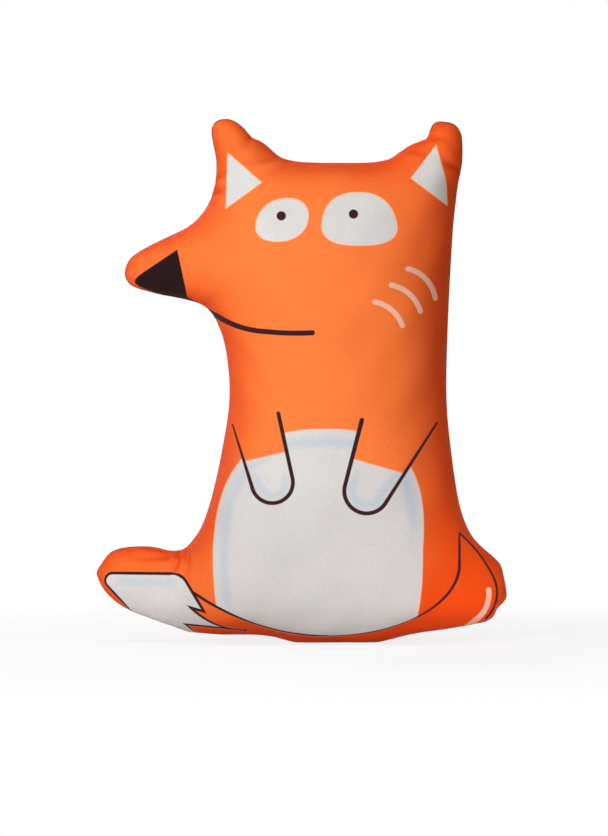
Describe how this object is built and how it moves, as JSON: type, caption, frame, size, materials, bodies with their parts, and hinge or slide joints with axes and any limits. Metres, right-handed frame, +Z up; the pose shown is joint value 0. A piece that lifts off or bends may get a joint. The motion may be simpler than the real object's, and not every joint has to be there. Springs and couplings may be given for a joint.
{
  "type": "stuffed toy fox",
  "caption": "Soft two-panel cushion toy in the shape of a sitting fox, seamed round its edge and filled.",
  "frame": {"origin": "on the floor, under the middle of the toy's box", "axes": "+Z up, the printed face looks along -Y, the muzzle points to -X; the seam lies in the plane Y = 0"},
  "size_m": [0.2746, 0.1324, 0.35],
  "materials": {
    "printed_fabric": "matte stretch knit, printed orange with white, pale blue and dark drawing",
    "plain_fabric": "matte stretch knit, plain orange",
    "filling": "loose white filling, not seen"
  },
  "bodies": {
    "root": {"front_panel": "printed_fabric", "back_panel": "plain_fabric", "body_filling": "filling", "head_filling": "filling", "muzzle_filling": "filling", "left_ear_filling": "filling", "right_ear_filling": "filling", "tail_filling": "filling", "haunch_filling": "filling"}
  },
  "joints": []
}
